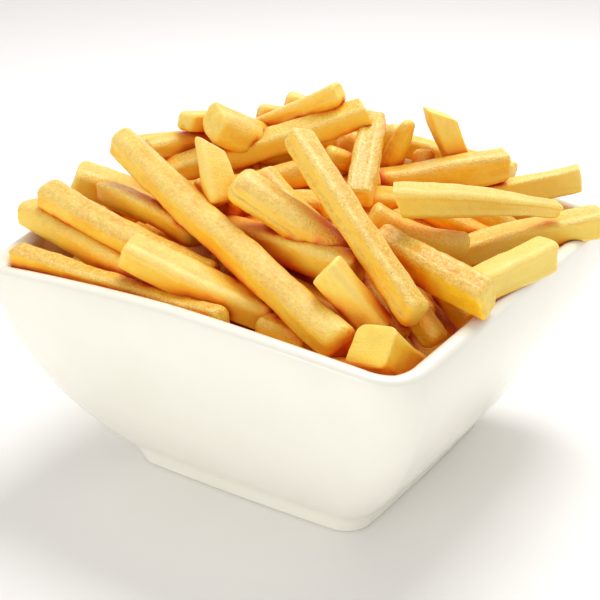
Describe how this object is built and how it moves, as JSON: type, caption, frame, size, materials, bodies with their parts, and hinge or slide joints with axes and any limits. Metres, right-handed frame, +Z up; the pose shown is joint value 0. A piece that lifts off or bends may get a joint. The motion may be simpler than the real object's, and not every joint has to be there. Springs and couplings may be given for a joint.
{
  "type": "bowl of french fries",
  "caption": "Square glazed ceramic bowl with arched sides and dipped corners on a low foot, heaped with thick-cut french fries, some of them resting over its rim",
  "frame": {"origin": "middle of the whole part in X and Y, at the level of the surface that the bowl's foot stands on", "axes": "+Z is up; the bowl's four sides face -X, +X, -Y and +Y, and the corner nearest to the viewer is the one at +X -Y"},
  "size_m": [0.1559, 0.1456, 0.111],
  "materials": {
    "glaze": "warm white gloss glaze",
    "crust": "golden fried potato, slightly oily"
  },
  "bodies": {
    "root": {"bowl": "glaze", "fries": "crust"}
  },
  "joints": []
}
